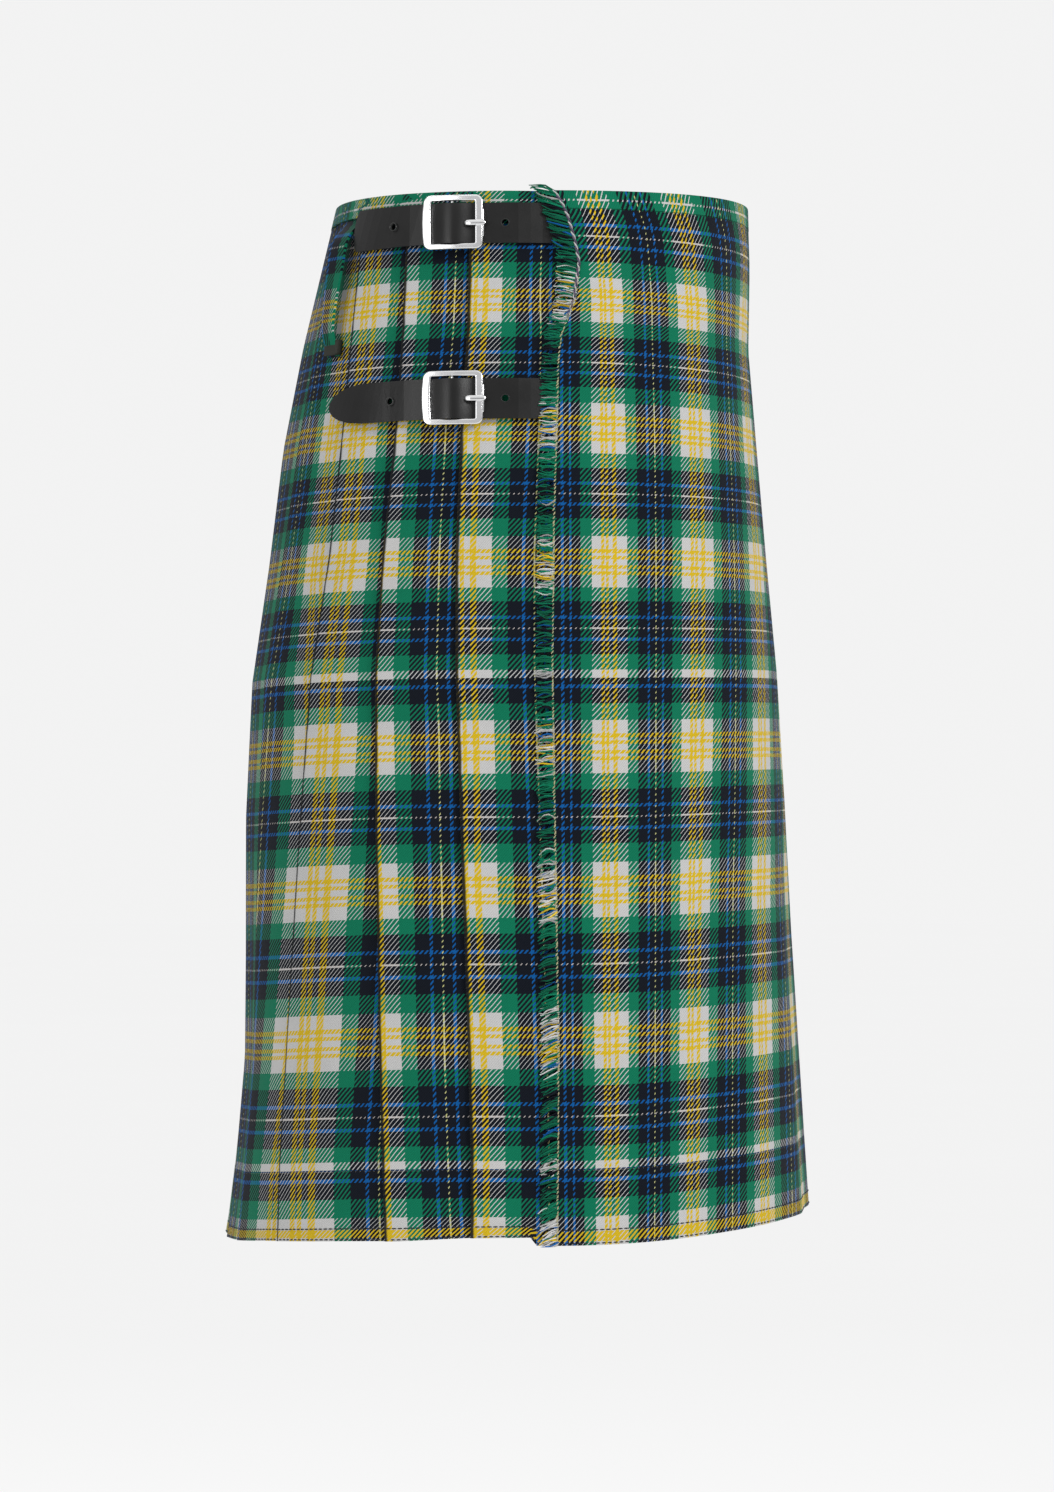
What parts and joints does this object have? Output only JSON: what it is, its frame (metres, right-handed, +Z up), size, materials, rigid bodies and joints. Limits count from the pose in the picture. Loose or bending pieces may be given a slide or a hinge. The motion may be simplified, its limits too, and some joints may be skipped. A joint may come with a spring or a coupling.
{
  "type": "kilt",
  "caption": "Tartan kilt in its worn form: flat fringed over apron, knife pleats round the back, leather straps with buckles at the hips.",
  "frame": {"origin": "middle of the waist, level with the top edge at the hips", "axes": "+Z up along the wearer, -Y towards the wearer's front, -X towards the wearer's right hip"},
  "size_m": [0.3955, 0.3489, 0.6226],
  "materials": {
    "tartan": "worsted twill in green, navy, white, yellow and blue",
    "leather": "smooth black with a soft sheen",
    "nickel": "polished nickel"
  },
  "bodies": {
    "root": {"over_apron": "tartan", "under_apron": "tartan", "pleat_01": "tartan", "pleat_02": "tartan", "pleat_03": "tartan", "pleat_04": "tartan", "pleat_05": "tartan", "pleat_06": "tartan", "pleat_07": "tartan", "pleat_08": "tartan", "pleat_09": "tartan", "pleat_10": "tartan", "pleat_11": "tartan", "pleat_12": "tartan", "waistband": "tartan", "fringe": "tartan", "belt_loop_right": "tartan", "belt_loop_left": "tartan", "strap_upper_right": "leather", "strap_lower_right": "leather", "strap_left": "leather", "chape_upper_right": "leather", "chape_lower_right": "leather", "chape_left": "leather", "buckle_upper_right": "nickel", "buckle_lower_right": "nickel", "buckle_left": "nickel", "tongue_upper_right": "nickel", "tongue_lower_right": "nickel", "tongue_left": "nickel"}
  },
  "joints": []
}
